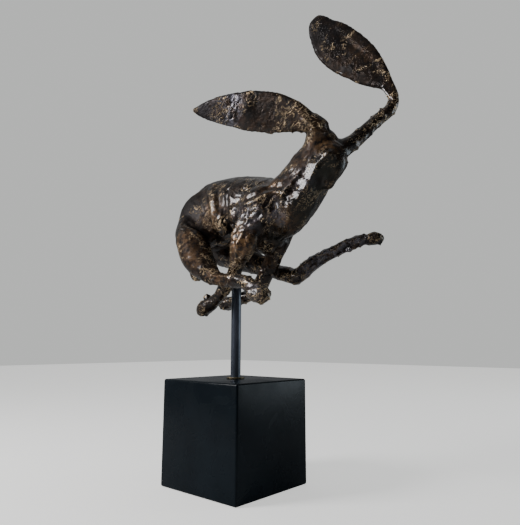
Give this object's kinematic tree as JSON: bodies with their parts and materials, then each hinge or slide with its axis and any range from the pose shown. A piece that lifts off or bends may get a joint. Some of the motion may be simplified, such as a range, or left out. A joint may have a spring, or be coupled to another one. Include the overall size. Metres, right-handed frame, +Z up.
{
  "type": "running hare sculpture",
  "caption": "Cast bronze figure of a hare at full run, ears streaming, held above a black cube base by a slender rod.",
  "frame": {"origin": "middle of the block's underside", "axes": "+Z up, +X the way that the hare runs, -Y on the hare's right side"},
  "size_m": [0.2435, 0.1169, 0.4689],
  "materials": {
    "bronze": "cast bronze, dark brown patina burnished to bare metal on the high spots",
    "rod_steel": "black satin",
    "collar_brass": "dulled",
    "block_wood": "black satin paint"
  },
  "bodies": {
    "root": {"hare": "bronze", "rod": "rod_steel", "rod_collar": "collar_brass", "block": "block_wood"}
  },
  "joints": []
}
